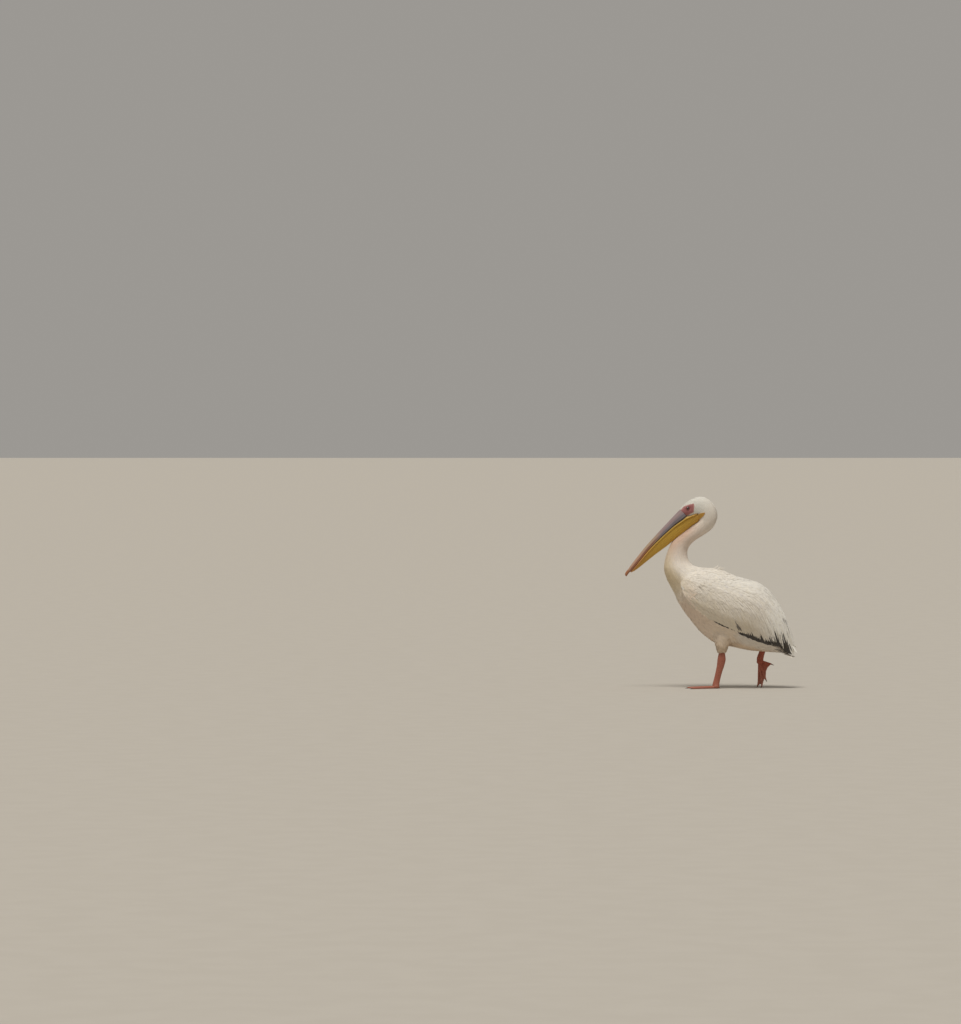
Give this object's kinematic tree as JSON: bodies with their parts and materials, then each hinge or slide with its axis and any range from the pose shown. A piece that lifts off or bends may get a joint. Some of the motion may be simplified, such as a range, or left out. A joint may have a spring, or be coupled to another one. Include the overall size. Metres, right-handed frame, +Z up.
{
  "type": "great white pelican museum model",
  "caption": "Life-size still model of an adult great white pelican walking, with bill and pouch lowered in front of the breast, folded wings and black-tipped flight feathers",
  "frame": {"origin": "on the floor under the centre of the whole bird's bounding box", "axes": "+Z is up; the bird faces -X, its left side is -Y and its right side +Y"},
  "size_m": [0.8458, 0.2916, 0.9465],
  "materials": {
    "plumage": "soft warm white contour feathers",
    "breast_plumage": "soft feathers with a pinkish buff wash",
    "flight_feathers": "smooth black-brown flight feathers",
    "bill_horn": "satin grey-blue horn with pinkish edges",
    "bill_rami": "satin orange-yellow horn",
    "pouch_skin": "finely veined yellow skin",
    "nail_horn": "smooth orange-red horn",
    "leg_skin": "scaled reddish-pink skin",
    "claw_horn": "smooth dark brown horn",
    "eye": "glossy dark red-brown"
  },
  "bodies": {
    "root": {"head": "plumage", "neck_upper": "plumage", "neck_lower": "plumage", "eye_left": "eye", "eye_right": "eye", "bill_upper": "bill_horn", "bill_nail": "nail_horn", "bill_lower": "bill_rami", "pouch": "pouch_skin", "trunk": "breast_plumage", "tail": "plumage", "wing_left": "plumage", "primaries_left": "flight_feathers", "wing_right": "plumage", "primaries_right": "flight_feathers", "thigh_left": "breast_plumage", "shank_left": "leg_skin", "foot_left": "leg_skin", "claw_left_outer": "claw_horn", "claw_left_middle": "claw_horn", "claw_left_inner": "claw_horn", "claw_left_hind": "claw_horn", "thigh_right": "breast_plumage", "shank_right": "leg_skin", "foot_right": "leg_skin", "claw_right_outer": "claw_horn", "claw_right_middle": "claw_horn", "claw_right_inner": "claw_horn", "claw_right_hind": "claw_horn"}
  },
  "joints": []
}
